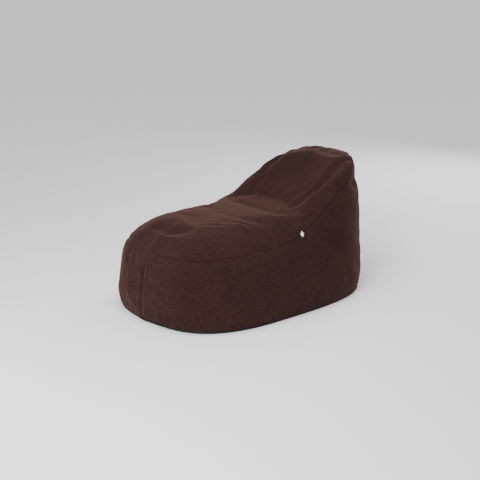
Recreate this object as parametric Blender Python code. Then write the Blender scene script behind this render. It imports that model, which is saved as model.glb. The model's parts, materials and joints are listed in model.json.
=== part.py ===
"""Lounge bean bag chair: a cover of three fabric panels and a black base, closed by a zip
down the back, round an inner liner with its own zip, filled with beads.

Metres, +Z up. The chair stands on z = 0 with its front towards -Y and its back towards +Y;
+X is the left hand of somebody sitting in it.
"""
import math

import bmesh
import bpy
from mathutils import Matrix, Vector
from mathutils.bvhtree import BVHTree

# Outline of the base and of the seam where the seat panel meets the sides.
LENGTH = 1.100  # base, front to back
WIDTH = 0.772  # base, at its widest
TOP_WIDTH = 0.612  # seam round the seat, at its widest
WAIST = -0.075  # where both outlines are widest, along y
TOP_FRONT_IN = 0.038  # seam behind the base at the front
TOP_BACK_OUT = 0.024  # seam beyond the base at the back
BOW = 0.010  # how far the front seam stands proud, as a soft corner
BASE_SQUARE = (2.9, 3.2)  # squareness of the base outline, front and back
TOP_SQUARE = (3.8, 2.8)  # squareness of the seam outline, front and back

# Heights.
EDGE = 0.014  # rolled edge of the base panel
FRONT_SEAM = 0.301  # seam round the seat, at the front
SEAM_RISE = 0.320  # what it climbs towards the back
SEAT_CROWN = 0.397  # middle of the seat
CROWN_RISE = 0.232  # what the middle climbs into the backrest
WING = 0.010  # soft roll along each edge of the backrest
CROWN_EDGE = 5.0  # how late the seat rolls over to the seam

# How far the sides swell out between base and seam.
SWELL_FRONT, SWELL_SIDE, SWELL_BACK = 0.017, 0.019, 0.018

# Cloth.
COVER = 0.0020  # cover fabric with its lining
LINER = 0.0010
COVER_GAP = 0.0014  # cover to liner
FILL_GAP = 0.0005  # liner to beads
SEAM = 0.0005  # each panel stops this far short of a seam
CLEAR = 0.0003  # between pieces that touch

# Zips.
TAPE_WIDE, TAPE_THICK = 0.0100, 0.0010
ZIP_SLIT = 0.0005  # half the slit between the two halves
COIL_WIDE, COIL_HIGH = 0.0030, 0.0020
ZIP_DEPTH = 0.0006  # face of the cover's tapes below the face of the cloth
SLIDER_LONG, SLIDER_PLATE, SLIDER_FOOT = 0.0140, 0.0010, 0.0008
ARCH_TALL, ARCH_BAR = 0.0032, 0.0010  # the arch on the slider that holds the pull
STOP_LONG, STOP_END = 0.0030, 0.0010  # each stop, and what is left of the zip beyond it
PULL_LONG, PULL_WIDE, PULL_THICK = 0.0280, 0.0070, 0.0012
LINER_ZIP = 0.420  # length of the liner's zip

# Badge on the left, sewn over the seam round the seat.
BADGE_WIDE, BADGE_HIGH, BADGE_THICK = 0.020, 0.028, 0.0015
BADGE_BORDER = 0.004
BADGE_ALONG = 0.078  # its place along y
BADGE_DROP = 0.001  # its middle below the seam

AROUND = 12  # grid steps along each side of the chair
UP = 5  # grid steps up each side


# ---------------------------------------------------------------- the shape of the chair

def smooth(x):
    x = min(max(x, 0.0), 1.0)
    return x * x * (3 - 2 * x)


def outline(angle, width, front, back, square):
    """A point of an egg-like outline. Angle 0 is +X and a quarter turn is +Y."""
    c, s = math.cos(angle), math.sin(angle)
    n = square[0] if s < 0 else square[1]
    k = (abs(c) ** n + abs(s) ** n) ** (-1 / n)
    half = WAIST - front if s < 0 else back - WAIST
    off_front = abs((angle + math.pi / 2 + math.pi) % (2 * math.pi) - math.pi)
    bow = BOW * max(0.0, 1 - off_front / math.radians(22)) ** 2
    return Vector((width / 2 * c * k, WAIST + half * s * k - bow, 0.0))


def top_share(y):
    """0 at the front of the seam round the seat, 1 at its back."""
    front = -LENGTH / 2 + TOP_FRONT_IN
    return (y - front) / (LENGTH / 2 + TOP_BACK_OUT - front)


def base_ring(angle):
    point = outline(angle, WIDTH, -LENGTH / 2, LENGTH / 2, BASE_SQUARE)
    return Vector((point.x, point.y, EDGE))


def top_ring(angle):
    point = outline(
        angle, TOP_WIDTH, -LENGTH / 2 + TOP_FRONT_IN, LENGTH / 2 + TOP_BACK_OUT, TOP_SQUARE
    )
    point.z = FRONT_SEAM + SEAM_RISE * smooth((top_share(point.y) - 0.40) / 0.70)
    return point


def wall(angle, share):
    """A point of the sides, from the base at share 0 to the seam at share 1."""
    c, s = math.cos(angle), math.sin(angle)
    swell = (SWELL_FRONT if s < 0 else SWELL_BACK) * s * s + SWELL_SIDE * c * c
    swell *= smooth(min(share, 1 - share) * UP)
    return base_ring(angle).lerp(top_ring(angle), share) + swell * Vector((c, s, 0.0))


def seat(angle, reach):
    """A point of the seat and backrest, from the middle at reach 0 to the seam at reach 1."""
    rim = top_ring(angle)
    middle = Vector((0.0, WAIST, 0.0))
    point = middle.lerp(Vector((rim.x, rim.y, 0.0)), reach)
    share = top_share(point.y)
    crown = SEAT_CROWN + CROWN_RISE * smooth((share - 0.56) / 0.515)
    wing = WING * math.exp(-(((reach - 0.83) / 0.13) ** 2)) * smooth((share - 0.45) / 0.25)
    point.z = crown + (rim.z - crown) * reach**CROWN_EDGE + (wing if reach < 1 else 0.0)
    return point


def under(angle, reach):
    """A point of the flat underside, which rolls up to the sides at reach 1."""
    rim = base_ring(angle)
    if reach > 0.999:
        return rim
    flat = reach * AROUND / (AROUND - 2) * (1 - 2 * EDGE / WIDTH)
    return Vector((rim.x * flat, WAIST + (rim.y - WAIST) * flat, 0.0))


def shaped(cube):
    """Moves a point of the cube from -1 to 1 onto the chair."""
    u, v, w = cube
    reach = max(abs(u), abs(v))
    if reach < 1e-6:
        angle = 0.0
    elif abs(v) >= abs(u):
        angle = math.copysign(math.pi / 2, v) - math.pi / 4 * u / v
    else:
        angle = (0.0 if u > 0 else math.pi) + math.pi / 4 * v / u
    if w > 0.999:
        return seat(angle, 1 - (1 - reach) ** 1.35)
    if w < -0.999:
        return under(angle, reach)
    return wall(angle, (w + 1) / 2)


def chair_grid():
    """The outer surface as one closed grid. Each face keeps its place on the cube, and each
    corner its way in, long enough that a sheet has the same thickness on every face."""
    bm = bmesh.new()
    bmesh.ops.create_cube(bm, size=2.0)
    level = [e for e in bm.edges if abs(e.verts[0].co.z - e.verts[1].co.z) < 1]
    bmesh.ops.subdivide_edges(bm, edges=level, cuts=AROUND - 1, use_grid_fill=True)
    upright = [e for e in bm.edges if abs(e.verts[0].co.z - e.verts[1].co.z) > 1]
    bmesh.ops.subdivide_edges(bm, edges=upright, cuts=UP - 1, use_grid_fill=True)
    place = bm.faces.layers.float_vector.new("place")
    inward = bm.verts.layers.float_vector.new("inward")
    for face in bm.faces:
        face[place] = face.calc_center_median()
    for vert in bm.verts:
        vert.co = shaped(vert.co)
    bmesh.ops.triangulate(bm, faces=bm.faces[:], quad_method="SHORT_EDGE")
    bm.normal_update()
    for vert in bm.verts:
        vert[inward] = -vert.normal * min(vert.calc_shell_factor(), 1.8)
    return bm


# ---------------------------------------------------------------- making objects

def material(name, colour, rough, metallic=0.0):
    made = bpy.data.materials.new(name)
    made.use_nodes = True
    shader = made.node_tree.nodes["Principled BSDF"]
    shader.inputs["Base Color"].default_value = (*colour, 1)
    shader.inputs["Roughness"].default_value = rough
    shader.inputs["Metallic"].default_value = metallic
    made.diffuse_color = (*colour, 1)
    return made


def add(name, bm, look, collection, parent=None, matrix=None):
    """Turns a bmesh, drawn in the frame of matrix, into an object whose origin is there."""
    mesh = bpy.data.meshes.new(name)
    bm.to_mesh(mesh)
    bm.free()
    mesh.materials.append(look)
    obj = bpy.data.objects.new(name, mesh)
    obj.matrix_world = matrix or Matrix()
    collection.objects.link(obj)
    if parent:
        obj.parent = parent
        obj.matrix_parent_inverse = parent.matrix_world.inverted()
    return obj


def pull_back_edges(bm):
    """Draws the open edges of a sheet back from the seams, mitred at its corners."""
    ways = {}
    for edge in bm.edges:
        if not edge.is_boundary:
            continue
        along = (edge.verts[1].co - edge.verts[0].co).normalized()
        into = edge.link_faces[0].calc_center_median() - edge.verts[0].co
        into = (into - along * into.dot(along)).normalized()
        for vert in edge.verts:
            ways.setdefault(vert, []).append(into)
    for vert, (one, two) in ways.items():
        vert.co += SEAM * (one + two) / (1 + one.dot(two))


def sheet(name, wanted, depth, thick, look, collection):
    """A piece of cloth: the faces whose place is wanted, so deep below the outer surface."""
    bm = chair_grid()
    place = bm.faces.layers.float_vector["place"]
    inward = bm.verts.layers.float_vector["inward"]
    others = [f for f in bm.faces if not wanted(f[place])]
    bmesh.ops.delete(bm, geom=others, context="FACES")
    pull_back_edges(bm)
    for vert in bm.verts:
        vert.co += vert[inward] * depth
    inner = bmesh.ops.extrude_face_region(bm, geom=bm.faces[:], use_keep_orig=True)["geom"]
    for vert in (g for g in inner if isinstance(g, bmesh.types.BMVert)):
        vert.co += vert[inward] * thick
    bmesh.ops.recalc_face_normals(bm, faces=bm.faces[:])
    return add(name, bm, look, collection)


def beads(look, collection):
    depth = COVER + COVER_GAP + LINER + FILL_GAP
    bm = chair_grid()
    inward = bm.verts.layers.float_vector["inward"]
    for vert in bm.verts:
        vert.co += vert[inward] * depth
    return add("bead_fill", bm, look, collection)


def box(x, y, z):
    """A bmesh box between two values along each axis."""
    bm = bmesh.new()
    bmesh.ops.create_cube(bm, size=1.0)
    scale = Vector((x[1] - x[0], y[1] - y[0], z[1] - z[0]))
    middle = Vector((x[0] + x[1], y[0] + y[1], z[0] + z[1])) / 2
    bmesh.ops.scale(bm, vec=scale, verts=bm.verts)
    bmesh.ops.translate(bm, vec=middle, verts=bm.verts)
    return bm


def bar(profile, z):
    """A closed profile in x and y, drawn along z between two values."""
    bm = bmesh.new()
    face = bm.faces.new([bm.verts.new((px, py, z[0])) for px, py in profile])
    drawn = bmesh.ops.extrude_face_region(bm, geom=[face], use_keep_orig=True)["geom"]
    verts = [g for g in drawn if isinstance(g, bmesh.types.BMVert)]
    bmesh.ops.translate(bm, vec=(0, 0, z[1] - z[0]), verts=verts)
    bmesh.ops.recalc_face_normals(bm, faces=bm.faces[:])
    return bm


def cut(obj, cutter):
    made = obj.modifiers.new("cut", "BOOLEAN")
    made.operation, made.solver, made.object = "DIFFERENCE", "EXACT", cutter


# ---------------------------------------------------------------- zips
# A zip is drawn in its own frame: z runs along it, y points out of its toothed face, and the
# face of the tapes is y = 0.

def zip_slot(name, frame, half, deep, cutters):
    """A cutter that opens the cloth for a zip."""
    wide = ZIP_SLIT + TAPE_WIDE + SEAM
    made = add(name, box((-wide, wide), deep, (-half, half)), look_black, cutters, matrix=frame)
    made.hide_render = True
    made.display_type = "WIRE"
    return made


def slider_profile():
    """The slider seen along the zip: two plates, a thin bridge through the slit and a flange
    down each side of the coils."""
    bridge = ZIP_SLIT - CLEAR
    side = ZIP_SLIT + COIL_WIDE + CLEAR
    top = CLEAR + COIL_HIGH + CLEAR
    low = -TAPE_THICK - CLEAR
    half = [
        (bridge, low), (side + SLIDER_PLATE, low), (side + SLIDER_PLATE, low - SLIDER_FOOT),
    ]
    upper = [
        (side + SLIDER_PLATE, top + SLIDER_PLATE), (side + SLIDER_PLATE, CLEAR),
        (side, CLEAR), (side, top), (bridge, top),
    ]
    right = upper + half
    return right + [(-x, y) for x, y in reversed(right)]


def zip_slider(name, frame, rest, pulled, look, collection):
    top = CLEAR + COIL_HIGH + CLEAR + SLIDER_PLATE
    here = frame @ Matrix.Translation((0, 0, rest))
    half = SLIDER_LONG / 2
    slider = add(name, bar(slider_profile(), (-half, half)), look, collection, matrix=here)
    if not pulled:
        return slider, top
    # The arch that holds the pull, joined to the top plate.
    w, leg, tall = ARCH_BAR, ARCH_BAR, ARCH_TALL
    arch = [
        (-0.0045, top - 0.0003), (-0.0045, top + tall), (0.0045, top + tall),
        (0.0045, top - 0.0003), (0.0045 - leg, top - 0.0003), (0.0045 - leg, top + tall - leg),
        (-0.0045 + leg, top + tall - leg), (-0.0045 + leg, top - 0.0003),
    ]
    bm = bar(arch, (-w, w))
    bmesh.ops.rotate(bm, matrix=Matrix.Rotation(-math.pi / 2, 3, "Y"), verts=bm.verts)
    helper = add(name + "_arch_shape", bm, look, bpy.data.collections["cutters"], matrix=here)
    helper.hide_render = True
    helper.display_type = "WIRE"
    joined = slider.modifiers.new("arch", "BOOLEAN")
    joined.operation, joined.solver, joined.object = "UNION", "EXACT", helper
    return slider, top + (tall - leg) / 2


def zip_pull(slider, axis_height, look, collection):
    """A flat pull whose end bar lies under the slider's arch, hanging straight down."""
    frame = Matrix.Translation(slider.matrix_world @ Vector((0, axis_height, 0)))
    t, w = PULL_THICK / 2, PULL_WIDE / 2
    pull = add("zip_pull", box((-w, w), (-t, t), (-PULL_LONG, t)), look, collection,
               parent=slider, matrix=frame)
    hole = add("zip_pull_hole", box((-0.0016, 0.0016), (-0.01, 0.01), (-0.0064, -t)), look,
               bpy.data.collections["cutters"], matrix=frame)
    hole.hide_render = True
    hole.display_type = "WIRE"
    cut(pull, hole)
    return pull


def zip_set(prefix, frame, half, rest, pulled, looks, collection):
    """One zip between -half and half along its frame, with its slider at rest."""
    tape, teeth, metal = looks
    stop = STOP_END + STOP_LONG
    for side, sign in (("left", 1), ("right", -1)):
        near, far = sign * ZIP_SLIT, sign * (ZIP_SLIT + TAPE_WIDE)
        across = (min(near, far), max(near, far))
        add(f"{prefix}_tape_{side}", box(across, (-TAPE_THICK, 0), (-half, half)), tape,
            collection, matrix=frame)
        r = COIL_WIDE / 2
        middle = sign * (ZIP_SLIT + r)
        coil = [
            (middle + r * math.cos(math.radians(a)), CLEAR + COIL_HIGH / 2 * (1 + math.sin(math.radians(a))))
            for a in range(0, 360, 45)
        ]
        add(f"{prefix}_coil_{side}", bar(coil, (-half + stop + 0.002, half - stop - 0.002)),
            teeth, collection, matrix=frame)
        inside, outside = sign * ZIP_SLIT, sign * (ZIP_SLIT + COIL_WIDE)
        add(f"{prefix}_top_stop_{side}",
            box((min(inside, outside), max(inside, outside)), (CLEAR, CLEAR + COIL_HIGH),
                (half - stop, half - STOP_END)), metal, collection, matrix=frame)
    add(f"{prefix}_bottom_stop",
        box((-ZIP_SLIT - COIL_WIDE, ZIP_SLIT + COIL_WIDE), (CLEAR, CLEAR + COIL_HIGH),
            (-half + STOP_END, -half + stop)), metal, collection, matrix=frame)
    slider, axis_height = zip_slider(f"{prefix}_slider", frame, rest, pulled, metal, collection)
    if pulled:
        zip_pull(slider, axis_height, metal, collection)


def back_zip_frame():
    """The frame of the zip down the back, and half the length of the straight stretch."""
    low, high = wall(math.pi / 2, 1 / UP), wall(math.pi / 2, 1 - 1 / UP)
    along = (high - low).normalized()
    out = Vector((1, 0, 0)).cross(along) * -1
    frame = Matrix((Vector((1, 0, 0)), out, along)).transposed().to_4x4()
    frame.translation = (low + high) / 2 - out * ZIP_DEPTH
    return frame, (high - low).length / 2 - 0.006


def liner_zip_frame():
    """The frame of the zip under the liner, whose teeth face the beads."""
    frame = Matrix((Vector((1, 0, 0)), Vector((0, 0, 1)), Vector((0, -1, 0)))).transposed().to_4x4()
    frame.translation = Vector((0, 0, COVER + COVER_GAP + LINER))
    return frame


# ---------------------------------------------------------------- badge

def badge(collection, plate_look, backing_look):
    """A small raised diamond on a backing patch, over the seam on the left."""
    steps = [math.radians(-60 + 0.25 * i) for i in range(600)]
    angle = min(steps, key=lambda a: abs(top_ring(a).y - BADGE_ALONG))
    rim = top_ring(angle)
    share = 1 - BADGE_DROP / (rim - base_ring(angle)).length
    centre = wall(angle, share)
    side = (wall(angle + 0.02, share) - wall(angle - 0.02, share)).normalized()
    rise = (wall(angle, share + 0.02) - wall(angle, share - 0.02)).normalized()
    out = side.cross(rise).normalized()
    side = Vector((0, 0, 1)).cross(out).normalized()
    rise = out.cross(side)
    skin = chair_grid()
    tree = BVHTree.FromBMesh(skin)
    frame = Matrix((side, rise, out)).transposed().to_4x4()
    frame.translation = centre
    wide, high = BADGE_WIDE / 2 + BADGE_BORDER, BADGE_HIGH / 2 + BADGE_BORDER
    lift = 0.0
    for i in range(16):
        turn = math.radians(22.5 * i)
        spread = 1 / (abs(math.cos(turn)) + abs(math.sin(turn)))
        at = Vector((wide * spread * math.cos(turn), high * spread * math.sin(turn), 0.03))
        hit = tree.ray_cast(frame @ at, -out)[0]
        if hit:
            lift = max(lift, (hit - centre).dot(out))
    skin.free()
    lift += CLEAR

    def diamond(w, h, z):
        return bar([(w, 0), (0, h), (-w, 0), (0, -h)], z)

    add("badge_backing", diamond(wide, high, (lift, lift + 0.001)), backing_look, collection,
        matrix=frame)
    base = lift + 0.001 + CLEAR
    add("badge_plate", diamond(BADGE_WIDE / 2, BADGE_HIGH / 2, (base, base + BADGE_THICK)),
        plate_look, collection, matrix=frame)


# ---------------------------------------------------------------- the chair

for old in list(bpy.data.objects):
    bpy.data.objects.remove(old, do_unlink=True)

chair = bpy.data.collections.new("bean_bag_chair")
cutters = bpy.data.collections.new("cutters")
for made in (chair, cutters):
    bpy.context.scene.collection.children.link(made)
cutters.hide_render = True

look_fabric = material("brown_woven_fabric", (0.060, 0.031, 0.028), 0.93)
look_black = material("black_base_fabric", (0.008, 0.008, 0.009), 0.75)
look_tape = material("dark_brown_zip_tape", (0.030, 0.017, 0.015), 0.9)
look_teeth = material("dark_brown_nylon_coil", (0.025, 0.014, 0.013), 0.45)
look_metal = material("dark_zinc", (0.16, 0.15, 0.14), 0.38, 1.0)
look_liner = material("off_white_liner_cloth", (0.55, 0.53, 0.48), 0.85)
look_white = material("white_nylon", (0.7, 0.7, 0.68), 0.5)
look_beads = material("polystyrene_beads", (0.82, 0.82, 0.80), 0.7)
look_plate = material("pale_satin_badge", (0.62, 0.55, 0.54), 0.35)


def is_seat(p):
    return p.z > 0.999


def is_base(p):
    return p.z < -0.999


def is_left(p):
    return abs(p.z) < 0.999 and p.x > 0


def is_right(p):
    return abs(p.z) < 0.999 and p.x < 0


sheet("seat_back_panel", is_seat, 0, COVER, look_fabric, chair)
left = sheet("left_side_panel", is_left, 0, COVER, look_fabric, chair)
right = sheet("right_side_panel", is_right, 0, COVER, look_fabric, chair)
sheet("base_panel", is_base, 0, COVER, look_black, chair)

back_zip, zip_half = back_zip_frame()
slot = zip_slot("back_zip_slot", back_zip, zip_half + SEAM, (-0.003, 0.01), cutters)
for panel in (left, right):
    cut(panel, slot)
zip_rest = zip_half - STOP_END - STOP_LONG - 0.002 - SLIDER_LONG / 2
zip_set("zip", back_zip, zip_half, zip_rest, True, (look_tape, look_teeth, look_metal), chair)

badge(chair, look_plate, look_black)

liner_depth = COVER + COVER_GAP
liner_left = sheet("liner_left", lambda p: p.x > 0, liner_depth, LINER, look_liner, chair)
liner_right = sheet("liner_right", lambda p: p.x < 0, liner_depth, LINER, look_liner, chair)
under_zip = liner_zip_frame()
liner_half = min(LINER_ZIP, 0.6 * LENGTH) / 2
liner_slot = zip_slot("liner_zip_slot", under_zip, liner_half + SEAM, (-0.0013, 0.002), cutters)
for half in (liner_left, liner_right):
    cut(half, liner_slot)
liner_rest = liner_half - STOP_END - STOP_LONG - 0.002 - SLIDER_LONG / 2
zip_set("liner_zip", under_zip, liner_half, liner_rest, False,
        (look_liner, look_white, look_white), chair)

fill = beads(look_beads, chair)
groove = add("fill_groove", box((-0.008, 0.008), (0.0, 0.0055), (-liner_half - 0.004, liner_half + 0.004)),
             look_beads, cutters, matrix=under_zip)
groove.hide_render = True
groove.display_type = "WIRE"
cut(fill, groove)


def centre(collection, helpers):
    """Moves everything along so that the middle of the chair's length is over the origin."""
    bpy.context.view_layer.update()
    graph = bpy.context.evaluated_depsgraph_get()
    ys = []
    for obj in collection.objects:
        shape = obj.evaluated_get(graph)
        ys += [(shape.matrix_world @ vert.co).y for vert in shape.data.vertices]
    shift = (min(ys) + max(ys)) / 2
    for obj in [*collection.objects, *helpers.objects]:
        if obj.parent is None:
            obj.location.y -= shift


centre(chair, cutters)
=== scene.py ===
# %% [markdown]
# # A lounge bean bag chair
#
# The chair is a cloth bag, so nearly all of its look is in how the cloth lies: it swells where
# the beads press, dips into its seams and creases where the seat bends up into the backrest.
# Everything is placed in the frame of the CAD model, in metres, so the first cell loads it.

# %% Load the frame
import json
import math

import bmesh
import bpy
import numpy as np
from mathutils import Matrix, Vector, noise
from mathutils.bvhtree import BVHTree

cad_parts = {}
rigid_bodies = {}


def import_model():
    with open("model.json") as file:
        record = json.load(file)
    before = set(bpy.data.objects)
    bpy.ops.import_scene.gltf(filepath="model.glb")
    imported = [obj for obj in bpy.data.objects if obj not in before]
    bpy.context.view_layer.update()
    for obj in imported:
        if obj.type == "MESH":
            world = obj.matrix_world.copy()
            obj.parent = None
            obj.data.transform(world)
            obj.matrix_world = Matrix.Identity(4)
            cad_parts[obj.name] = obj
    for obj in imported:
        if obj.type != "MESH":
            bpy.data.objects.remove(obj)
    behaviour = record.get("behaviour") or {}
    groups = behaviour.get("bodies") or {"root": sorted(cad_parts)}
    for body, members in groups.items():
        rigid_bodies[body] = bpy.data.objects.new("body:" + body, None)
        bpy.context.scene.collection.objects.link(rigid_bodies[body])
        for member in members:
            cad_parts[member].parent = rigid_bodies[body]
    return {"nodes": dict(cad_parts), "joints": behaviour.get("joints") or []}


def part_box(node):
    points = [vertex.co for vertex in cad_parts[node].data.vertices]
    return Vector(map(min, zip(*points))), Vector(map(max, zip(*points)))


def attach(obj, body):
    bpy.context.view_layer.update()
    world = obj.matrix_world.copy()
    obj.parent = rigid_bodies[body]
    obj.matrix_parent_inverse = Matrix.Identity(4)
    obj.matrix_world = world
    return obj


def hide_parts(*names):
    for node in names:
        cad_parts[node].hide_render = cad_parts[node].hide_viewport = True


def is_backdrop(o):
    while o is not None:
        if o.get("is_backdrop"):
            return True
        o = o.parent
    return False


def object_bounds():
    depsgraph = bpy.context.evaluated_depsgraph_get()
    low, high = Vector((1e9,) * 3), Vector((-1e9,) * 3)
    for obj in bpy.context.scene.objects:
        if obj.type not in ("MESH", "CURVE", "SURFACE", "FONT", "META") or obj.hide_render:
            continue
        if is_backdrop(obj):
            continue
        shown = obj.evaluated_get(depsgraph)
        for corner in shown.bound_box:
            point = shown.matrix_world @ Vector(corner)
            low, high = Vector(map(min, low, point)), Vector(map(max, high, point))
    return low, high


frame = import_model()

CAD_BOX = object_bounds()
MM = 0.001

# %% [markdown]
# ## The form of the bag
#
# A bean bag has no straight edges to measure from. Two outlines describe it: the base on the
# floor, and the seam round the seat, which climbs towards the back. Walls join the two, and the
# seat is a dome over the upper one. Writing those as functions, and not as a sculpt, lets one
# grid of any fineness be laid on the same form.

# %% Sizes of the form
LENGTH, WIDTH, TOP_WIDTH = 1.100, 0.772, 0.612
WAIST = -0.075  # where both outlines are widest
TOP_FRONT_IN, TOP_BACK_OUT, BOW = 0.038, 0.024, 0.010
BASE_SQUARE, TOP_SQUARE = (2.9, 3.2), (3.8, 2.8)
FRONT_SEAM, SEAM_RISE = 0.301, 0.320
SEAT_CROWN, CROWN_RISE = 0.397, 0.232
SWELL_FRONT, SWELL_SIDE, SWELL_BACK = 0.018, 0.021, 0.018
FOOT_LOW, FOOT_HIGH = 0.007, 0.014  # how far the black base rolls up the side

low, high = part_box("base_panel")
MIDDLE = (low[1] + high[1]) / 2 + BOW / 2  # where the form's own y = 0 lies in the frame
print(f"the form sits {MIDDLE / MM:.1f} mm along y")

# %% The two outlines


def smooth(x):
    x = min(max(x, 0.0), 1.0)
    return x * x * (3 - 2 * x)


def bell(x, wide):
    """1 at x = 0, falling away smoothly over the width."""
    return math.exp(-((x / wide) ** 2))


def turn_from(angle, centre):
    """How far an angle is from another, the short way round, in degrees."""
    return math.degrees((angle - math.radians(centre) + math.pi) % (2 * math.pi) - math.pi)


def outline(angle, width, front, back, square):
    c, s = math.cos(angle), math.sin(angle)
    n = square[0] if s < 0 else square[1]
    k = (abs(c) ** n + abs(s) ** n) ** (-1 / n)
    half = WAIST - front if s < 0 else back - WAIST
    bow = BOW * max(0.0, 1 - abs(turn_from(angle, -90)) / 22) ** 2
    return Vector((width / 2 * c * k, WAIST + half * s * k - bow, 0.0))


def top_share(y):
    front = -LENGTH / 2 + TOP_FRONT_IN
    return (y - front) / (LENGTH / 2 + TOP_BACK_OUT - front)


def foot(angle):
    """Height of the seam round the base. The base shows most at the front."""
    shows = bell(turn_from(angle, -62), 34)
    return FOOT_LOW + (FOOT_HIGH - FOOT_LOW) * shows


def base_ring(angle):
    point = outline(angle, WIDTH, -LENGTH / 2, LENGTH / 2, BASE_SQUARE)
    point.z = foot(angle)
    return point


def top_ring(angle):
    point = outline(
        angle, TOP_WIDTH, -LENGTH / 2 + TOP_FRONT_IN, LENGTH / 2 + TOP_BACK_OUT, TOP_SQUARE
    )
    point.z = FRONT_SEAM + SEAM_RISE * smooth((top_share(point.y) - 0.40) / 0.70)
    return point


# %% Walls and seat
def wall(angle, share):
    """A point of the sides. They round off near the seams, but stay straight up the zip."""
    c, s = math.cos(angle), math.sin(angle)
    swell = (SWELL_FRONT if s < 0 else SWELL_BACK) * s * s + SWELL_SIDE * c * c
    knee = 0.34 - 0.14 * bell(turn_from(angle, 90), 12)
    swell *= 1 - (1 - min(min(share, 1 - share) / knee, 1.0)) ** 2.2
    return base_ring(angle).lerp(top_ring(angle), share) + swell * Vector((c, s, 0.0))


def seat(angle, reach):
    """A point of the dome, with a scoop in the backrest between two soft wings."""
    rim = top_ring(angle)
    middle = Vector((0.0, WAIST, 0.0))
    point = middle.lerp(Vector((rim.x, rim.y, 0.0)), reach)
    share = top_share(point.y)
    crown = SEAT_CROWN + CROWN_RISE * smooth((share - 0.56) / 0.515)
    back = smooth((share - 0.45) / 0.25)
    wing = 0.016 * bell(reach - 0.80, 0.13) * back
    scoop = 0.014 * bell(point.x, 0.13) * bell(share - 0.76, 0.15)
    point.z = crown + (rim.z - crown) * reach**5
    if reach < 1:
        point.z += wing - scoop
    return point


# %% [markdown]
# ## One grid for the whole cover
#
# A cube whose top is pushed onto the seat and whose sides are pushed onto the walls gives a
# closed grid with no pole. The square top is rounded with the mapping that turns a square into a
# disc, which keeps its cells close to square. Each face remembers its place on the cube, so the
# panels can be told apart later, after the cloth has moved.

# %% The cover grid
AROUND = 84
UP = 32


def disc(u, v):
    """Angle and reach on the disc of a point of the square from -1 to 1."""
    x, y = u * math.sqrt(1 - v * v / 2), v * math.sqrt(1 - u * u / 2)
    return math.atan2(y, x), min(math.hypot(x, y), 1.0)


def shaped(cube):
    u, v, w = cube
    angle, reach = disc(u, v)
    if w > 0.999:
        point = seat(angle, 1 - (1 - reach) ** 1.2 if reach < 0.9999 else 1.0)
    else:
        share = (w + 1) / 2
        share = 0.6 * share + 0.4 * (0.5 - 0.5 * math.cos(math.pi * share))
        point = wall(angle, share)
    point.y += MIDDLE
    return point


bm = bmesh.new()
bmesh.ops.create_cube(bm, size=2.0)
level = [e for e in bm.edges if abs(e.verts[0].co.z - e.verts[1].co.z) < 1]
bmesh.ops.subdivide_edges(bm, edges=level, cuts=AROUND - 1, use_grid_fill=True)
upright = [e for e in bm.edges if abs(e.verts[0].co.z - e.verts[1].co.z) > 1]
bmesh.ops.subdivide_edges(bm, edges=upright, cuts=UP - 1, use_grid_fill=True)
below = [f for f in bm.faces if f.calc_center_median().z < -0.999]
bmesh.ops.delete(bm, geom=below, context="FACES")
bm.verts.ensure_lookup_table()
PLACES = [v.co.copy() for v in bm.verts]  # every corner's place on the cube
for vert in bm.verts:
    vert.co = shaped(vert.co)
cover_mesh = bpy.data.meshes.new("cover_grid")
bm.to_mesh(cover_mesh)
bm.free()
DESIGNED = np.array([v.co for v in cover_mesh.vertices])
print("cover grid:", len(cover_mesh.vertices), "corners")

# %% [markdown]
# ## Letting the cloth settle
#
# A smooth form looks like moulded plastic. Real cloth is cut a little larger than the beads it
# holds and is gathered into its seams, so it buckles. A short cloth simulation does the same:
# pressure pushes out, the cloth between the seams is given spare length, and the cloth at the
# seams is drawn tight. A weak hold on every corner keeps the chair's own form.

# %% Where the cloth is held
TAPE_LOW, TAPE_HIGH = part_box("zip_tape_right")[0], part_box("zip_tape_left")[1]
ZIP_MID = (Vector(TAPE_LOW) + Vector(TAPE_HIGH)) / 2
ZIP_UP = -Vector(next(j for j in frame["joints"] if j["name"] == "zip_slide")["axis"])
ZIP_OUT = Vector((1, 0, 0)).cross(ZIP_UP) * -1
ZIP_HALF = (TAPE_HIGH[2] - TAPE_LOW[2]) / 2 / ZIP_UP.z
print(f"zip {2 * ZIP_HALF / MM:.0f} mm long, leaning {math.degrees(math.asin(ZIP_UP.y)):.1f} degrees")


def seam_nearness(place):
    """1 on a seam of the cover, falling to 0 a little way from it."""
    u, v, w = place
    if w > 0.999:
        return bell(1 - max(abs(u), abs(v)), 0.06)
    near = max(bell(1 - w, 0.10), bell(1 + w, 0.10))
    return max(near, bell(u, 0.05) if abs(v) > 0.999 else 0.0)


def zip_nearness(point):
    local = Vector(point) - ZIP_MID
    along = max(0.0, abs(local.dot(ZIP_UP)) - ZIP_HALF)
    away = math.hypot(local.x, along) if local.dot(ZIP_OUT) > -0.05 else 1.0
    return 1 - smooth((away - 0.018) / 0.035)


# %% The simulation
PRESSURE, SPARE, GATHER = 0.8, -0.014, 0.006
HOLD, MOST_MOVE = 0.12, 0.009
FRAMES = 14


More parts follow.
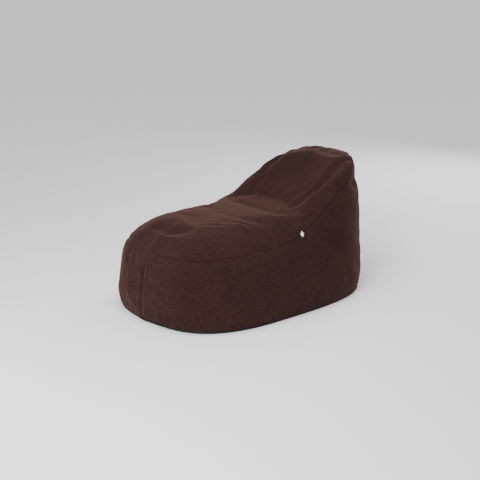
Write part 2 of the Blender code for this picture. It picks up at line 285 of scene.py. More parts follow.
def settled(mesh):
    """The corners of the mesh after the cloth has settled."""
    cloth = bpy.data.objects.new("cloth", mesh.copy())
    bpy.context.scene.collection.objects.link(cloth)
    hold = cloth.vertex_groups.new(name="hold")
    seams = cloth.vertex_groups.new(name="seams")
    for i, place in enumerate(PLACES):
        near_seam = seam_nearness(place)
        fixed = 1.0 if place.z < -0.999 else max(zip_nearness(DESIGNED[i]), 0.0)
        hold.add([i], max(fixed, HOLD + 0.5 * near_seam), "REPLACE")
        seams.add([i], near_seam, "REPLACE")
    made = cloth.modifiers.new("Cloth", "CLOTH")
    how = made.settings
    how.quality = 5
    how.mass = 0.35
    how.tension_stiffness = how.compression_stiffness = 25
    how.shear_stiffness = 8
    how.bending_stiffness = 0.4
    how.use_pressure = True
    how.uniform_pressure_force = PRESSURE
    how.vertex_group_mass = "hold"
    how.pin_stiffness = 1.0
    how.vertex_group_shrink = "seams"
    how.shrink_min, how.shrink_max = SPARE, GATHER
    how.effector_weights.gravity = 0.0
    made.collision_settings.use_self_collision = False
    scene = bpy.context.scene
    made.point_cache.frame_start, made.point_cache.frame_end = 1, FRAMES
    for step in range(1, FRAMES + 1):
        scene.frame_set(step)
    shape = cloth.evaluated_get(bpy.context.evaluated_depsgraph_get())
    moved = np.array([v.co for v in shape.data.vertices])
    bpy.data.objects.remove(cloth, do_unlink=True)
    scene.frame_set(1)
    return moved


shift = np.zeros_like(DESIGNED)
# Uneven cloth, so that it buckles somewhere: the seed of the simulated wrinkles.
start = cover_mesh.copy()
for vert in start.vertices:
    ripple = noise.noise(vert.co * 14) + 0.5 * noise.noise(vert.co * 31 + Vector((5, 0, 0)))
    vert.co += vert.normal * ripple * 1.2 * MM
shift = settled(start) - DESIGNED
reach = np.linalg.norm(shift, axis=1, keepdims=True)
shift *= np.minimum(reach, MOST_MOVE) / np.maximum(reach, 1e-9)
SETTLED = DESIGNED + shift
print(f"cloth moved up to {np.linalg.norm(shift, axis=1).max() / MM:.1f} mm")

# %% [markdown]
# ## Folds that belong to the making
#
# Some folds are too particular to leave to a simulation: the crease where the backrest's wing
# leaves its hollow, the hollow under the rear corners where spare cloth is drawn into the seam,
# a shallow dip behind the front edge, the puckers along the front seams where two cloths are sewn
# together, and the wrinkles left across the seat by sitting. Each is a line on the surface, and
# the cloth near it sinks, with a low lip on both sides.

# %% Folds along lines
for vert, place in zip(cover_mesh.vertices, SETTLED):
    vert.co = place
OUTWARD = np.array([v.normal for v in cover_mesh.vertices])


def fold(points, line, wide, deep):
    """Sinks the points near a line by a depth that fades towards its ends."""
    line = [np.array(p) for p in line]
    total = sum(np.linalg.norm(b - a) for a, b in zip(line, line[1:]))
    nearest, along, passed = np.full(len(points), 9.0), np.zeros(len(points)), 0.0
    for a, b in zip(line, line[1:]):
        span = b - a
        share = np.clip((points - a) @ span / (span @ span), 0, 1)
        away = np.linalg.norm(points - a - share[:, None] * span, axis=1)
        closer = away < nearest
        nearest[closer] = away[closer]
        along[closer] = (passed + share[closer] * np.linalg.norm(span)) / total
        passed += np.linalg.norm(span)
    fade = np.sin(math.pi * np.clip(along, 0, 1)) ** 0.6
    sunk = np.exp(-((nearest / wide) ** 2)) - 0.3 * np.exp(-((nearest / wide - 1.7) ** 2) / 0.5)
    points -= OUTWARD * (deep * sunk * fade)[:, None]


# %% The chair's own folds
FOLDED = SETTLED.copy()
for side in (1, -1):
    wing = [
        (0.13, 0.13, 0.405), (0.175, 0.235, 0.458), (0.198, 0.32, 0.518),
        (0.18, 0.41, 0.565), (0.15, 0.50, 0.60),
    ]
    fold(FOLDED, [(side * x, y, z) for x, y, z in wing], 0.022, 0.012)
    corner = [(0.285, 0.29, 0.455), (0.262, 0.375, 0.492), (0.243, 0.455, 0.485), (0.20, 0.52, 0.52)]
    fold(FOLDED, [(side * x, y, z) for x, y, z in corner], 0.030, 0.013)
    for x, y, deep in ((0.19, 0.495, 0.006), (0.125, 0.535, 0.005)):  # gathers on the top edge
        gather = [(side * (x - 0.03), y - 0.05, 0.595), (side * (x + 0.025), y + 0.05, 0.585)]
        fold(FOLDED, gather, 0.014, deep)
fold(FOLDED, [(-0.06, 0.46, 0.615), (-0.045, 0.58, 0.60)], 0.016, 0.005)
bend = [(-0.17, 0.13, 0.40), (-0.05, 0.167, 0.407), (0.06, 0.185, 0.413), (0.17, 0.16, 0.41)]
fold(FOLDED, bend, 0.032, 0.005)  # where the seat turns up into the backrest
fold(FOLDED, [(-0.11, -0.43, 0.366), (0.0, -0.432, 0.370), (0.10, -0.40, 0.372)], 0.028, 0.010)
down = [wall(-math.pi / 2, s / 10) + Vector((0, MIDDLE, 0)) for s in range(-1, 11)]
fold(FOLDED, down, 0.011, 0.0042)  # the two cloths pucker along the seam down the front
brow = [wall(math.radians(a), 1.0) + Vector((0, MIDDLE, 0)) for a in range(-160, -19, 5)]
fold(FOLDED, brow, 0.010, 0.0030)  # and along the front of the seam round the seat

SEAT_WAY = Vector((0.645, 0.764, 0.0))  # sitting down pushes wrinkles this way across the seat
SEAT_HIGH = 0.394
for x, y, length, deep in (
    (0.13, -0.285, 0.13, 0.0032), (0.08, -0.215, 0.15, 0.0030), (0.16, -0.19, 0.17, 0.0034),
    (0.08, -0.12, 0.20, 0.0028), (0.20, -0.08, 0.14, 0.0026), (0.02, -0.03, 0.18, 0.0026),
    (0.13, 0.00, 0.16, 0.0026), (-0.08, -0.10, 0.16, 0.0022), (-0.15, -0.02, 0.14, 0.0022),
):
    half = SEAT_WAY * length / 2
    ends = [(x + way * half.x, y + way * half.y, SEAT_HIGH) for way in (-1, 1)]
    fold(FOLDED, [ends[0], (x, y + 0.004, SEAT_HIGH), ends[1]], 0.011, deep)
print(f"folds move the cloth up to {np.linalg.norm(FOLDED - SETTLED, axis=1).max() / MM:.1f} mm")

# %% [markdown]
# ## Flat places
#
# Cloth cannot wrinkle where something stiff is sewn to it. Under the badge it lies in the plane of
# the badge's backing, so that is measured from the CAD piece and the cloth is drawn onto it.

# %% The cloth under the badge
backing = bpy.data.objects["badge_backing"].data
widest = max(backing.polygons, key=lambda p: p.area)
BADGE_MID = sum((v.co for v in backing.vertices), Vector()) / len(backing.vertices)
BADGE_OUT = widest.normal * (1 if widest.normal.x > 0 else -1)
BADGE_BACK = min((v.co - BADGE_MID).dot(BADGE_OUT) for v in backing.vertices)
local = FOLDED - np.array(BADGE_MID)
height = local @ np.array(BADGE_OUT)
away = np.linalg.norm(local - height[:, None] * np.array(BADGE_OUT), axis=1)
near = np.clip((0.055 - away) / 0.030, 0, 1) * (np.abs(height) < 0.05)
near = near * near * (3 - 2 * near)
FOLDED += np.array(BADGE_OUT) * (near * (BADGE_BACK - 0.3 * MM - height))[:, None]
cover_mesh.vertices.foreach_set("co", FOLDED.ravel())
cover_mesh.update()
print(f"{int((near > 0.5).sum())} corners lie under the badge")

# %% [markdown]
# ## Cutting the panels
#
# The cover is sewn from three pieces of cloth: one over the seat and backrest, and one for each
# side, which meet in a seam down the front and at the zip down the back. At each seam the cloth
# turns in, so a narrow border is inset all round a panel and its edge is sunk. Subdivision
# rounds that into a soft ditch, and Solidify gives the cloth its thickness.

# %% Measures of the cloth
CLOTH = 2.0 * MM
TURN_IN, SEAM_DEEP = 3.2 * MM, 2.2 * MM  # width of the border that turns in, and how deep it goes
ON_TAPE_DEEP = 0.4 * MM  # beside the zip the edge lies on the tape, so it hardly sinks
CORNER_COS = -0.6  # a border that turns more sharply than this keeps its corner
ZIP_OPEN, ZIP_REACH, ZIP_LIFT = 6.6 * MM, 45 * MM, 2.2 * MM
SLOT_END = 2.2 * MM  # the slot's ends are cut square, this far inside the ends of the tape
# Values for the cover's wear and painted shade: above 0 the cloth is worn paler, below 0 shade is painted
# in.
EDGE_SHADED, NEXT_WORN, BASE_WORN = -0.85, 0.1, 0.2  # pale above 0, shaded below 0

ring = [base_ring(math.radians(a)).lerp(top_ring(math.radians(a)), 0.5) for a in range(-90, 91)]
RING_TURN = [math.atan2(p.y - WAIST, p.x) for p in ring]
RING_LONG = np.concatenate([[0], np.cumsum([(b - a).length for a, b in zip(ring, ring[1:])])])
BACK_Y = np.linspace(-0.6, 0.6, 121)
climb = [CROWN_RISE * smooth((top_share(y - MIDDLE) - 0.56) / 0.515) for y in BACK_Y]
BACK_LONG = np.concatenate([[0], np.cumsum(np.hypot(np.diff(BACK_Y), np.diff(climb)))])
print(f"half round the sides: {RING_LONG[-1]:.2f} m, seat and back: {BACK_LONG[-1]:.2f} m")


def seat_threads(p):
    """Metres along the weave of the seat panel: across, and from front to back over the climb."""
    return p.x, float(np.interp(p.y, BACK_Y, BACK_LONG))


def side_threads(p):
    turn = math.atan2(p.y - MIDDLE - WAIST, abs(p.x))
    return float(np.interp(turn, RING_TURN, RING_LONG)), p.z * 1.04


# %% Opening a side panel for the zip
def open_for_zip(bm, side):
    """Gives the panel an edge beside the zip, square at its ends and raised over the tape."""
    for along in (-ZIP_HALF, SLOT_END - ZIP_HALF, ZIP_HALF - SLOT_END, ZIP_HALF):
        middles = [(f, f.calc_center_median()) for f in bm.faces]
        near = [f for f, middle in middles if abs(middle.x) < 0.07 and middle.y > 0.3]
        parts = {*near, *(e for f in near for e in f.edges), *(v for f in near for v in f.verts)}
        place = ZIP_MID + ZIP_UP * along
        bmesh.ops.bisect_plane(bm, geom=list(parts), dist=1e-6, plane_co=place, plane_no=ZIP_UP)
    for vert in bm.verts:
        local = vert.co - ZIP_MID
        across, along = abs(vert.co.x), abs(local.dot(ZIP_UP))
        if local.dot(ZIP_OUT) < -0.05 or across > ZIP_REACH:
            continue
        if along < ZIP_HALF - 1 * MM:
            vert.co.x += side * ZIP_OPEN * (1 - across / ZIP_REACH)
        fade = smooth((ZIP_HALF + 0.035 - along) / 0.03)
        vert.co += ZIP_OUT * ZIP_LIFT * fade * smooth(1 - across / ZIP_REACH)


# %% One panel of cloth
def finished(name, bm, threads=None, wear=None):
    """A mesh object from a bmesh, with its weave coordinates and how far each corner is rubbed pale
    (above 0) and given painted shade (below 0)."""
    bm.faces.ensure_lookup_table()
    if threads:
        layer = bm.loops.layers.uv.new("threads")
        for face in bm.faces:
            for loop in face.loops:
                loop[layer].uv = threads(loop.vert.co)
        wear_and_painted_shade_values = bm.verts.layers.float.new("wear")
        bm.verts.ensure_lookup_table()
        for index, amount in (wear or {}).items():
            bm.verts[index][wear_and_painted_shade_values] = amount
    for face in bm.faces:
        face.smooth = True
    mesh = bpy.data.meshes.new(name)
    bm.to_mesh(mesh)
    bm.free()
    made = bpy.data.objects.new(name, mesh)
    bpy.context.scene.collection.objects.link(made)
    return made


def thicken(piece, thick, levels=1):
    if levels:
        rounder = piece.modifiers.new("rounder", "SUBSURF")
        rounder.levels = rounder.render_levels = levels
    sheet = piece.modifiers.new("thickness", "SOLIDIFY")
    sheet.thickness, sheet.offset = thick, -1
    return piece


def turn_in_edges(bm):
    """Insets a border along every open edge and sinks the edge itself, as a sewn seam does.
    Both cloths of a seam sink the same way, so that it stays closed. Beside the zip the edge
    lies on the tape, so it hardly sinks there. A corner keeps its point."""
    bmesh.ops.inset_region(bm, faces=bm.faces[:], thickness=TURN_IN, use_boundary=True, use_even_offset=True)
    pointed = bm.verts.layers.float.new("crease_vert")
    way = bm.verts.layers.float_vector["way"]
    edge = {v for e in bm.edges if e.is_boundary for v in e.verts}
    for vert in edge:
        border = [e for e in vert.link_edges if e.is_boundary]
        a, b = [(e.other_vert(vert).co - vert.co).normalized() for e in border][:2]
        vert[pointed] = 1.0 if a.dot(b) > CORNER_COS else 0.0
    for vert in edge:
        local = vert.co - ZIP_MID
        beside = abs(local.dot(ZIP_UP)) < ZIP_HALF + 5 * MM and abs(vert.co.x) < 0.02
        on_tape = beside and local.dot(ZIP_OUT) > -0.05
        vert.co -= vert[way].normalized() * (ON_TAPE_DEEP if on_tape else SEAM_DEEP)
    bm.verts.index_update()
    # Shade is painted on the sunk edge, down in the seam's ditch; the row next to it is worn a little paler.
    wear_and_painted_shade_values = {}
    for vert in bm.verts:
        if vert in edge:
            wear_and_painted_shade_values[vert.index] = EDGE_SHADED
        elif any(e.other_vert(vert) in edge for e in vert.link_edges):
            wear_and_painted_shade_values[vert.index] = NEXT_WORN
    return wear_and_painted_shade_values


def cloth_panel(name, wanted, threads, zip_side=0):
    bm = bmesh.new()
    bm.from_mesh(cover_mesh)
    bm.normal_update()
    way = bm.verts.layers.float_vector.new("way")
    for vert in bm.verts:
        vert[way] = vert.normal
    others = [f for f in bm.faces if not wanted(sum((PLACES[v.index] for v in f.verts), Vector()) / 4)]
    bmesh.ops.delete(bm, geom=others, context="FACES")
    if zip_side:
        open_for_zip(bm, zip_side)
    wear_and_painted_shade_values = turn_in_edges(bm)
    return thicken(finished(name, bm, threads, wear_and_painted_shade_values), CLOTH)


# %% The three panels of the cover
seat_cover = cloth_panel("seat_cover", lambda p: p.z > 0.999, seat_threads)
left_cover = cloth_panel("left_cover", lambda p: p.z < 0.999 and p.x > 0, side_threads, 1)
right_cover = cloth_panel("right_cover", lambda p: p.z < 0.999 and p.x < 0, side_threads, -1)
COVERS = [seat_cover, left_cover, right_cover]
for piece, node in zip(COVERS, ("seat_back_panel", "left_side_panel", "right_side_panel")):
    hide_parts(node)
    print(piece.name, len(piece.data.polygons), "faces before subdivision")

# %% [markdown]
# ## The base
#
# The underside is a tougher black cloth, coated so that it does not wear through on the floor.
# Its edge rolls up a little way before it is sewn to the sides, which shows as a dark line along
# the foot. A flat grid is laid out to the base outline, and its border is extruded up a quarter
# round.

# %% The base panel
ROLL_STEPS = 5
TUCK = 2.4  # millimetres that the rolled edge is tucked in behind the sides


def roll(angle, turn):
    """A point of the rolled edge, from flat on the floor at 0 to upright at a quarter turn."""
    rim, ahead = base_ring(angle), base_ring(angle + 0.002)
    out = (ahead - rim).cross(Vector((0, 0, 1))).normalized()
    point = rim + out * rim.z * (math.sin(turn) - 1)
    point.z = rim.z * (1 - math.cos(turn))
    point.y += MIDDLE
    return point


bm = bmesh.new()
bmesh.ops.create_grid(bm, x_segments=AROUND, y_segments=AROUND, size=1.0)
turns = {}
for vert in bm.verts:
    angle, reach = disc(vert.co.x, vert.co.y)
    turns[vert] = angle
    middle = Vector((0, WAIST + MIDDLE, 0))
    vert.co = middle.lerp(roll(angle, 0.0), reach)
edge = [e for e in bm.edges if e.is_boundary]
for step in range(1, ROLL_STEPS + 1):
    drawn = bmesh.ops.extrude_edge_only(bm, edges=edge)["geom"]
    edge = [g for g in drawn if isinstance(g, bmesh.types.BMEdge)]
    for vert in {v for e in edge for v in e.verts}:
        known = [e.other_vert(vert) for e in vert.link_edges if e.other_vert(vert) in turns]
        below = min(known, key=lambda v: (v.co - vert.co).length)
        turns[vert] = turns[below]
    for vert in {v for e in edge for v in e.verts}:
        vert.co = roll(turns[vert], math.pi / 2 * step / ROLL_STEPS)
for vert in {v for e in edge for v in e.verts}:
    vert.co += (Vector((0, WAIST, vert.co.z)) - vert.co).normalized() * TUCK * MM
bmesh.ops.recalc_face_normals(bm, faces=bm.faces[:])
if min(bm.faces, key=lambda f: f.calc_center_median().z).normal.z > 0:
    bmesh.ops.reverse_faces(bm, faces=bm.faces[:])
bm.verts.index_update()
flat = [v for v in bm.verts if v.co.z < 1 * MM]
wear_and_painted_shade_values = {v.index: BASE_WORN for v in flat if (v.co.xy - Vector((0, WAIST))).length > 0.3}
base_cover = thicken(finished("base_cover", bm, lambda p: (p.x, p.y), wear_and_painted_shade_values), CLOTH, 0)
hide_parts("base_panel")
print("base:", len(base_cover.data.polygons), "faces")

# %% [markdown]
# ## Inside: liner and beads
#
# The beads are held in a thin liner with its own zip underneath, so that the cover can be washed.
# Both follow the settled cover from inside. They are the same grid drawn inwards and closed with
# a flat bottom, and where the cover is pinched thin they draw back further from it. The liner and
# the heap are drawn in apart from each other, so the heap still crosses the liner in places.

# %% A shape inside the cover
LEAST_SHARE = 0.75  # of its depth that a corner keeps to the cover, once it has drawn back
DRAW_ROUNDS, DRAW_STEP = 14, 2.5  # the step is in millimetres
HEART_FRONT, HEART_BACK, HEART_HIGH = -0.35, 0.30, 0.22  # the line that corners draw back to


def inner_shape(depth, floor):
    bm = bmesh.new()
    bm.from_mesh(cover_mesh)
    bm.normal_update()
    cover = BVHTree.FromBMesh(bm)
    for vert, way in [(v, v.normal.copy()) for v in bm.verts]:
        vert.co -= way * depth
        vert.co.z = max(vert.co.z, floor + 2 * MM)
    inside = [v for v in bm.verts if not v.is_boundary]
    bmesh.ops.smooth_vert(
        bm, verts=inside, factor=0.5, use_axis_x=True, use_axis_y=True, use_axis_z=True
    )
    shallow = inside
    for _ in range(DRAW_ROUNDS):  # where the cover is pinched thin, the bag inside draws back from it
        hits = [(v, cover.find_nearest(v.co)) for v in shallow]
        shallow = [v for v, (place, way, _, _) in hits if (v.co - place).dot(way) > -LEAST_SHARE * depth]
        for vert in shallow:
            heart = Vector((0, min(max(vert.co.y, HEART_FRONT), HEART_BACK), HEART_HIGH))
            vert.co += (heart - vert.co).normalized() * DRAW_STEP * MM
    rim = [e for e in bm.edges if e.is_boundary]
    drawn = bmesh.ops.extrude_edge_only(bm, edges=rim)["geom"]
    rim = [g for g in drawn if isinstance(g, bmesh.types.BMEdge)]
    for vert in {v for e in rim for v in e.verts}:
        vert.co += (Vector((0, 0, vert.co.z)) - vert.co).normalized() * 5 * MM
        vert.co.z = floor
    bmesh.ops.holes_fill(bm, edges=rim)
    bmesh.ops.recalc_face_normals(bm, faces=bm.faces[:])
    return bm


def cut_across(bm, point, way, clear=False):
    geom = bm.verts[:] + bm.edges[:] + bm.faces[:]
    bmesh.ops.bisect_plane(bm, geom=geom, dist=1e-6, plane_co=point, plane_no=way, clear_inner=clear)


# %% Liner and bead fill
LINER, LINER_IN, FILL_IN = 1.0 * MM, 9.0 * MM, 11.0 * MM
SLOT_HALF = 11 * MM  # the slot for the liner's zip, from its middle to its side
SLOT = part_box("liner_zip_tape_right")[0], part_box("liner_zip_tape_left")[1]
LINER_FLOOR, FILL_FLOOR = SLOT[0][2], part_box("liner_zip_slider")[1][2] + 0.6 * MM
liners = []
for name, side in (("liner_left_cloth", 1), ("liner_right_cloth", -1)):
    bm = inner_shape(LINER_IN, LINER_FLOOR)
    cut_across(bm, (side * 0.5 * MM, 0, 0), (side, 0, 0), clear=True)
    cut_across(bm, (side * SLOT_HALF, 0, 0), (side, 0, 0))
    cut_across(bm, (0, SLOT[0][1] - 0.5 * MM, 0), (0, 1, 0))
    cut_across(bm, (0, SLOT[1][1] + 0.5 * MM, 0), (0, 1, 0))
    slot = []
    for face in bm.faces:
        c = face.calc_center_median()
        on_floor = c.z < LINER_FLOOR + 1 * MM
        if on_floor and abs(c.x) < SLOT_HALF and SLOT[0][1] - 1 * MM < c.y < SLOT[1][1] + 1 * MM:
            slot.append(face)
    bmesh.ops.delete(bm, geom=slot, context="FACES")
    liners.append(thicken(finished(name, bm, side_threads), LINER, 0))
    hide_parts(name.removesuffix("_cloth"))
bead_heap = finished("bead_heap", inner_shape(FILL_IN, FILL_FLOOR))
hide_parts("bead_fill")
print("liner slots cut, bead heap of", len(bead_heap.data.vertices), "corners")

# %% [markdown]
# ## Zips
#
# A coil zip is two woven tapes, each with a nylon thread wound into a flat coil along its edge.
# The coil is what makes it look like a zip, so it is a real winding: one curve round and round
# in a flattened circle. The metal parts keep the CAD shape, with their edges rounded as casting
# and tumbling leave them.

# %% Rounding the edges of a CAD piece
def softened(node, radius):
    """A copy of a CAD piece with rounded edges, which stands for it."""
    bm = bmesh.new()
    bm.from_mesh(bpy.data.objects[node].data)
    bmesh.ops.remove_doubles(bm, verts=bm.verts, dist=1e-6)
    bmesh.ops.dissolve_limit(bm, angle_limit=math.radians(1), verts=bm.verts, edges=bm.edges)
    sharp = [e for e in bm.edges if len(e.link_faces) == 2 and e.calc_face_angle() > math.radians(20)]
    bmesh.ops.bevel(
        bm, geom=sharp, offset=radius, segments=2, profile=0.5, affect="EDGES", material=-1,
        clamp_overlap=True,
    )
    made = finished(node + "_rounded", bm)
    made.data.set_sharp_from_angle(angle=math.radians(40))
    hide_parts(node)
    return made


SIDES = ("left", "right")
STOPS = ("bottom_stop", "top_stop_left", "top_stop_right")
METAL = [softened(f"zip_{part}", 0.25 * MM) for part in ("slider", "pull", *STOPS)]
LINER_NYLON = [softened(f"liner_zip_{part}", 0.2 * MM) for part in ("slider", *STOPS)]
TAPES = [softened(f"zip_tape_{side}", 0.3 * MM) for side in SIDES]
LINER_TAPES = [softened(f"liner_zip_tape_{side}", 0.3 * MM) for side in SIDES]
print("rounded:", len(METAL + LINER_NYLON + TAPES + LINER_TAPES), "zip pieces")

# %% Winding the coils
COIL_PITCH, COIL_WIRE = 1.5 * MM, 0.62 * MM


def wound_coil(node, up, out):
    """A nylon thread wound along the CAD coil's length, inside the room that coil takes."""
    corners = [Vector(v.co) for v in bpy.data.objects[node].data.vertices]
    middle = sum(corners, Vector()) / len(corners)
    low, high = (f((c - middle).dot(up) for c in corners) for f in (min, max))
    tall = max((c - middle).dot(out) for c in corners) - COIL_WIRE / 2
    side = 1 if middle.x > 0 else -1
    inner, outer = 0.25 * MM + COIL_WIRE / 2, 3.5 * MM - COIL_WIRE / 2
    turns = int((high - low) / COIL_PITCH)
    curve = bpy.data.curves.new(node + "_wound", "CURVE")
    curve.dimensions = "3D"
    curve.bevel_depth, curve.bevel_resolution, curve.use_fill_caps = COIL_WIRE / 2, 1, True
    line = curve.splines.new("POLY")
    line.points.add(turns * 10)
    for i, point in enumerate(line.points):
        turn = 2 * math.pi * i / 10
        across = side * ((inner + outer) / 2 + (outer - inner) / 2 * math.cos(turn)) - middle.x
        along = low + COIL_WIRE + (high - low - 2 * COIL_WIRE) * i / (turns * 10)
        place = middle + Vector((across, 0, 0)) + up * along + out * tall * math.sin(turn)
        point.co = (*place, 1)
    thread = bpy.data.objects.new("thread", curve)
    bpy.context.scene.collection.objects.link(thread)
    bm = bmesh.new()
    bm.from_mesh(thread.evaluated_get(bpy.context.evaluated_depsgraph_get()).to_mesh())
    bmesh.ops.remove_doubles(bm, verts=bm.verts, dist=1e-6)
    bpy.data.objects.remove(thread)
    made = finished(node + "_wound", bm)
    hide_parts(node)
    return made


FORWARD, UPWARD = Vector((0, -1, 0)), Vector((0, 0, 1))
COILS = [wound_coil(f"zip_coil_{side}", ZIP_UP, ZIP_OUT) for side in SIDES]
LINER_COILS = [wound_coil(f"liner_zip_coil_{side}", FORWARD, UPWARD) for side in SIDES]
print("coil triangles:", 2 * len(COILS[0].data.polygons))

# %% [markdown]
# ## Badge
#
# A small blank plate, moulded with a raised rim, on a dark patch that is sewn to the side.

# %% The badge
badge_patch = softened("badge_backing", 0.35 * MM)
badge_face = softened("badge_plate", 0.4 * MM)
bm = bmesh.new()
bm.from_mesh(badge_face.data)
bm.normal_update()
front = max(bm.faces, key=lambda f: f.calc_area() * (f.normal.dot(BADGE_OUT) > 0.9))
bmesh.ops.inset_region(bm, faces=[front], thickness=1.6 * MM, use_even_offset=True)
bmesh.ops.inset_region(bm, faces=[front], thickness=0.4 * MM, depth=-0.35 * MM, use_even_offset=True)
bm.to_mesh(badge_face.data)
bm.free()
badge_face.data.set_sharp_from_angle(angle=math.radians(40))
print("badge plate:", len(badge_face.data.polygons), "faces")

# %% [markdown]
# ## Stitching
#
# Rows of thread hold the zip, the badge and the seams. Each stitch is a tiny spindle laid on the
# real surface: the path is walked in equal steps, and the nearest point of the finished cloth
# gives its place and its way up. The search starts a little outside, because cloth has two faces
# and the inner one may be nearer. Thousands are needed, so each has only 20 faces.

# %% Laying stitches on the cloth
STITCH, THREAD, FLATNESS = 3.2 * MM, 0.42 * MM, 0.8
START_OUT, LIFTED = 10, 0.12  # millimetres: where the search starts, and the stitch's height
FARTHEST, SPINE = 0.03, 0.3  # how far the search reaches; half the line that faces outwards


def surface(pieces):
    graph = bpy.context.evaluated_depsgraph_get()
    return [BVHTree.FromObject(piece, graph) for piece in pieces]


def stitches(name, paths, trees, pitch=4.6 * MM, length=STITCH):
    """One mesh of stitches along the paths, each lying on the nearest of the surfaces."""
    bm = bmesh.new()
    for path in paths:
        spans = [(b - a).length for a, b in zip(path, path[1:])]
        total, count = sum(spans), int(sum(spans) / pitch)
        reached = np.concatenate([[0], np.cumsum(spans)])
        lines = [[p[k] for p in path] for k in range(3)]
        steps = [total * (i + t) / count for i in range(count) for t in (0.3, 0.7)]
        walk = [Vector([float(np.interp(step, reached, line)) for line in lines]) for step in steps]
        for start, end in zip(walk[::2], walk[1::2]):
            middle = (start + end) / 2
            outside = Vector((middle.x, middle.y - min(max(middle.y, -SPINE), SPINE), 0)).normalized()
            hits = [t.find_nearest(middle + outside * START_OUT * MM, FARTHEST) for t in trees]
            hits = [h for h in hits if h[0] is not None]
            if not hits:
                continue
            place, up, _, _ = min(hits, key=lambda h: h[3])
            along = (end - start).normalized()
            up = (up - along * up.dot(along)).normalized()
            across = up.cross(along)
            axes = (along * length / 2, across * THREAD, up * THREAD * FLATNESS)
            turn = Matrix(axes).transposed().to_4x4()
            turn.translation = place + up * LIFTED * MM
            bmesh.ops.create_icosphere(bm, subdivisions=1, radius=1.0, matrix=turn)
    return finished(name, bm)


def ring_path(share_off, ring_at):
    """A path round the sides, so far from the seam at one end of the wall."""
    path = []
    for i in range(361):
        angle = math.radians(i)
        high = (top_ring(angle) - base_ring(angle)).length
        share = 1 - share_off / high if ring_at == "seat" else share_off / high
        point = wall(angle, share)
        point.y += MIDDLE
        path.append(point)
    return path


# %% Every row of stitches
side_surfaces = surface([left_cover, right_cover])
rows = [ring_path(6.5 * MM, "seat"), ring_path(6.5 * MM, "base")]
for x in (-6 * MM, 6 * MM):  # both sides of the front seam
    line = [wall(-math.pi / 2, s / 20) + Vector((x, MIDDLE, 0)) for s in range(1, 20)]
    rows.append(line)
seam_stitches = stitches("seam_stitches", rows, side_surfaces)
zip_rows = []
for side in (-1, 1):
    for off in (10.5, 14.0):
        ends = [ZIP_MID + ZIP_UP * s * (ZIP_HALF + 1 * MM) for s in (-1, 0, 1)]
        zip_rows.append([end + Vector((side * off * MM, 0, 0)) for end in ends])
for end in (-1, 1):
    across = [ZIP_MID + ZIP_UP * end * (ZIP_HALF + 7 * MM) + Vector((x * 9 * MM, 0, 0)) for x in (-1, 0, 1)]
    zip_rows.append(across)
zip_stitches = stitches("zip_stitches", zip_rows, side_surfaces, pitch=4.0 * MM, length=2.8 * MM)
flat = [v.co - BADGE_OUT * (v.co - BADGE_MID).dot(BADGE_OUT) for v in backing.vertices]
top, bottom = max(flat, key=lambda p: p.z), min(flat, key=lambda p: p.z)
front, back = min(flat, key=lambda p: p.y), max(flat, key=lambda p: p.y)
loop = [BADGE_MID.lerp(p, 0.88) for p in (top, back, bottom, front, top)]
badge_stitches = stitches("badge_stitches", [loop], surface([badge_patch]), pitch=3.0 * MM, length=2.2 * MM)
STITCHING = [seam_stitches, zip_stitches, badge_stitches]
print("stitches:", [len(s.data.polygons) // 20 for s in STITCHING])

# %% [markdown]
# ## What rides on what
#
# Only the two sliders and the pull move. Everything else is the bag itself.

# %% Riding
for piece in [*COVERS, base_cover, *liners, bead_heap]:
    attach(piece, "chair")
STILL = [*METAL[2:], *LINER_NYLON[1:], *TAPES, *LINER_TAPES, *COILS, *LINER_COILS]
for piece in [*STILL, badge_patch, badge_face, *STITCHING]:
    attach(piece, "chair")
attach(METAL[0], "slider")
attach(METAL[1], "pull")
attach(LINER_NYLON[0], "liner_slider")

# %% [markdown]
# ## Finishes
#
# Each finish is a small node tree. Patterns are sized from the real thing in millimetres. The
# weave follows the threads, so it reads the weave coordinates that each panel carries; blotches
# and speckle belong to no direction, so they read the position on the object.

# %% Helpers for finishes
def linear(hexed):
    """An sRGB hex colour as linear red, green, blue and alpha."""
    parts = [int(hexed[i : i + 2], 16) / 255 for i in (1, 3, 5)]
    return (*(c / 12.92 if c <= 0.04045 else ((c + 0.055) / 1.055) ** 2.4 for c in parts), 1.0)


def node(tree, kind, sockets, **settings):
    """Adds a node. Each socket is given a value, or another node's output to link."""
    made = tree.nodes.new("ShaderNode" + kind)
    for key, value in settings.items():
        setattr(made, key, value)
    for key, value in sockets.items():
        if isinstance(value, bpy.types.NodeSocket):
            tree.links.new(value, made.inputs[key])
        else:
            made.inputs[key].default_value = value
    return made


def finish(
    name, roughness, metallic=0.0, ior=1.5, shine=0.5, sheen=0.0, sheen_tint="#ffffff", sheen_rough=0.5
):
    """A material with its shader set; the cells below add what varies over the surface."""
    made = bpy.data.materials.new(name)
    made.use_nodes = True
    shader = made.node_tree.nodes["Principled BSDF"]
    values = {"Roughness": roughness, "Metallic": metallic, "IOR": ior, "Sheen Weight": sheen}
    values |= {"Sheen Roughness": sheen_rough, "Sheen Tint": linear(sheen_tint), "Specular IOR Level": shine}
    for key, value in values.items():
        shader.inputs[key].default_value = value
    return made, made.node_tree, shader


print("#808080 is", round(linear("#808080")[0], 3), "in linear light")

# %% [markdown]
# ### The cover's cloth
#
# A plain-woven polyester in dark brown, with dyed yarns of slightly different shades. Close by,
# the eye sees threads going over and under; further off, a fine speckle; further still, slow
# clouds of light and dark. It is matt, with a soft fuzz that lightens it at grazing angles. Shade
# is painted dark down in a seam, and the cloth is rubbed a little paler where it turns over one.

# %% Brown woven polyester
THREAD_PITCH = 2.0 * MM  # real threads lie 1.1 mm apart; drawn coarser, so that they can show
SPECKLE, CLOUD = 5.5 * MM, 0.16
WAVE = {"From Min": -1.0, "From Max": 1.0}
NOISE_SPAN = {"From Min": 0.3, "From Max": 0.7}  # nearly all of a noise lies in this range

